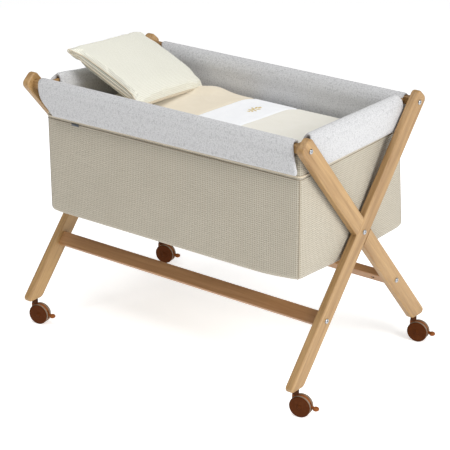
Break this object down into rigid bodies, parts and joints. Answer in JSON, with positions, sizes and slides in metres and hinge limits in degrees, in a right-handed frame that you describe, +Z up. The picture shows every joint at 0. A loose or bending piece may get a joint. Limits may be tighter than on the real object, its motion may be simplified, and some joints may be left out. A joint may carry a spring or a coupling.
{
  "type": "bassinet on stand",
  "caption": "Fabric bassinet with padded rim, bedding and pillow, hung between crossed wooden legs that stand on swivelling twin-wheel casters with brake levers.",
  "frame": {"origin": "on the floor, midway between the four caster stems", "axes": "+X along the bed away from the pillow, +Y to the rear, +Z up"},
  "size_m": [0.9324, 0.5858, 0.7463],
  "materials": {
    "beech": "satin lacquer over natural beech",
    "plywood": "plain plywood",
    "zinc_steel": "bright zinc plate",
    "socket_plastic": "moulded nylon",
    "hood_plastic": "satin moulded plastic, chestnut",
    "wheel_plastic": "satin moulded plastic, dark brown",
    "tread_rubber": "soft grey brown tread",
    "waffle_fabric": "beige cotton waffle weave",
    "muslin_fabric": "white crinkled cotton muslin, padded",
    "duvet_fabric": "beige cotton with a white band",
    "pillow_fabric": "ivory cotton waffle weave, piped",
    "mattress_fabric": "white cotton ticking"
  },
  "bodies": {
    "stand": {"leg_front_top_right": "beech", "leg_rear_top_right": "beech", "leg_front_top_left": "beech", "leg_rear_top_left": "beech", "top_rail_front": "beech", "top_rail_rear": "beech", "lower_rail_front": "beech", "lower_rail_rear": "beech", "end_bars": "beech", "rail_bolts": "zinc_steel", "barrel_nuts": "zinc_steel", "crossing_bolts": "zinc_steel", "crossing_nuts": "zinc_steel", "rail_dowels": "beech", "stem_sockets": "socket_plastic", "caster_stems": "zinc_steel", "basket_panel_front": "waffle_fabric", "basket_panel_rear": "waffle_fabric", "basket_panel_left": "waffle_fabric", "basket_panel_right": "waffle_fabric", "basket_floor": "waffle_fabric", "base_board": "plywood", "padded_rim_front": "muslin_fabric", "padded_rim_rear": "muslin_fabric", "padded_rim_left": "muslin_fabric", "padded_rim_right": "muslin_fabric", "mattress": "mattress_fabric", "duvet": "duvet_fabric", "pillow": "pillow_fabric"},
    "caster_front_right": {"caster_hood_front_right": "hood_plastic", "caster_axle_front_right": "zinc_steel"},
    "wheel_left_front_right": {"wheel_left_front_right": "wheel_plastic", "tread_left_front_right": "tread_rubber"},
    "wheel_right_front_right": {"wheel_right_front_right": "wheel_plastic", "tread_right_front_right": "tread_rubber"},
    "brake_front_right": {"brake_lever_front_right": "hood_plastic"},
    "caster_front_left": {"caster_hood_front_left": "hood_plastic", "caster_axle_front_left": "zinc_steel"},
    "wheel_left_front_left": {"wheel_left_front_left": "wheel_plastic", "tread_left_front_left": "tread_rubber"},
    "wheel_right_front_left": {"wheel_right_front_left": "wheel_plastic", "tread_right_front_left": "tread_rubber"},
    "brake_front_left": {"brake_lever_front_left": "hood_plastic"},
    "caster_rear_right": {"caster_hood_rear_right": "hood_plastic", "caster_axle_rear_right": "zinc_steel"},
    "wheel_left_rear_right": {"wheel_left_rear_right": "wheel_plastic", "tread_left_rear_right": "tread_rubber"},
    "wheel_right_rear_right": {"wheel_right_rear_right": "wheel_plastic", "tread_right_rear_right": "tread_rubber"},
    "brake_rear_right": {"brake_lever_rear_right": "hood_plastic"},
    "caster_rear_left": {"caster_hood_rear_left": "hood_plastic", "caster_axle_rear_left": "zinc_steel"},
    "wheel_left_rear_left": {"wheel_left_rear_left": "wheel_plastic", "tread_left_rear_left": "tread_rubber"},
    "wheel_right_rear_left": {"wheel_right_rear_left": "wheel_plastic", "tread_right_rear_left": "tread_rubber"},
    "brake_rear_left": {"brake_lever_rear_left": "hood_plastic"}
  },
  "joints": [
    {"name": "swivel_front_right", "type": "hinge", "parent": "stand", "child": "caster_front_right", "pos_m": [0.429, -0.262, 0.06], "axis": [0, 0, 1], "continuous": true},
    {"name": "spin_left_front_right", "type": "hinge", "parent": "caster_front_right", "child": "wheel_left_front_right", "pos_m": [0.44318, -0.25899, 0.0275], "axis": [-0.2079, 0.9781, 0], "continuous": true},
    {"name": "spin_right_front_right", "type": "hinge", "parent": "caster_front_right", "child": "wheel_right_front_right", "pos_m": [0.44318, -0.25899, 0.0275], "axis": [-0.2079, 0.9781, 0], "continuous": true},
    {"name": "brake_front_right", "type": "hinge", "parent": "caster_front_right", "child": "brake_front_right", "pos_m": [0.45883, -0.25566, 0.0275], "axis": [-0.2079, 0.9781, 0], "range_deg": [0, 15]},
    {"name": "swivel_front_left", "type": "hinge", "parent": "stand", "child": "caster_front_left", "pos_m": [-0.429, -0.262, 0.06], "axis": [0, 0, 1], "continuous": true},
    {"name": "spin_left_front_left", "type": "hinge", "parent": "caster_front_left", "child": "wheel_left_front_left", "pos_m": [-0.41482, -0.25899, 0.0275], "axis": [-0.2079, 0.9781, 0], "continuous": true},
    {"name": "spin_right_front_left", "type": "hinge", "parent": "caster_front_left", "child": "wheel_right_front_left", "pos_m": [-0.41482, -0.25899, 0.0275], "axis": [-0.2079, 0.9781, 0], "continuous": true},
    {"name": "brake_front_left", "type": "hinge", "parent": "caster_front_left", "child": "brake_front_left", "pos_m": [-0.39917, -0.25566, 0.0275], "axis": [-0.2079, 0.9781, 0], "range_deg": [0, 15]},
    {"name": "swivel_rear_right", "type": "hinge", "parent": "stand", "child": "caster_rear_right", "pos_m": [0.429, 0.262, 0.06], "axis": [0, 0, 1], "continuous": true},
    {"name": "spin_left_rear_right", "type": "hinge", "parent": "caster_rear_right", "child": "wheel_left_rear_right", "pos_m": [0.44318, 0.26501, 0.0275], "axis": [-0.2079, 0.9781, 0], "continuous": true},
    {"name": "spin_right_rear_right", "type": "hinge", "parent": "caster_rear_right", "child": "wheel_right_rear_right", "pos_m": [0.44318, 0.26501, 0.0275], "axis": [-0.2079, 0.9781, 0], "continuous": true},
    {"name": "brake_rear_right", "type": "hinge", "parent": "caster_rear_right", "child": "brake_rear_right", "pos_m": [0.45883, 0.26834, 0.0275], "axis": [-0.2079, 0.9781, 0], "range_deg": [0, 15]},
    {"name": "swivel_rear_left", "type": "hinge", "parent": "stand", "child": "caster_rear_left", "pos_m": [-0.429, 0.262, 0.06], "axis": [0, 0, 1], "continuous": true},
    {"name": "spin_left_rear_left", "type": "hinge", "parent": "caster_rear_left", "child": "wheel_left_rear_left", "pos_m": [-0.41482, 0.26501, 0.0275], "axis": [-0.2079, 0.9781, 0], "continuous": true},
    {"name": "spin_right_rear_left", "type": "hinge", "parent": "caster_rear_left", "child": "wheel_right_rear_left", "pos_m": [-0.41482, 0.26501, 0.0275], "axis": [-0.2079, 0.9781, 0], "continuous": true},
    {"name": "brake_rear_left", "type": "hinge", "parent": "caster_rear_left", "child": "brake_rear_left", "pos_m": [-0.39917, 0.26834, 0.0275], "axis": [-0.2079, 0.9781, 0], "range_deg": [0, 15]}
  ]
}
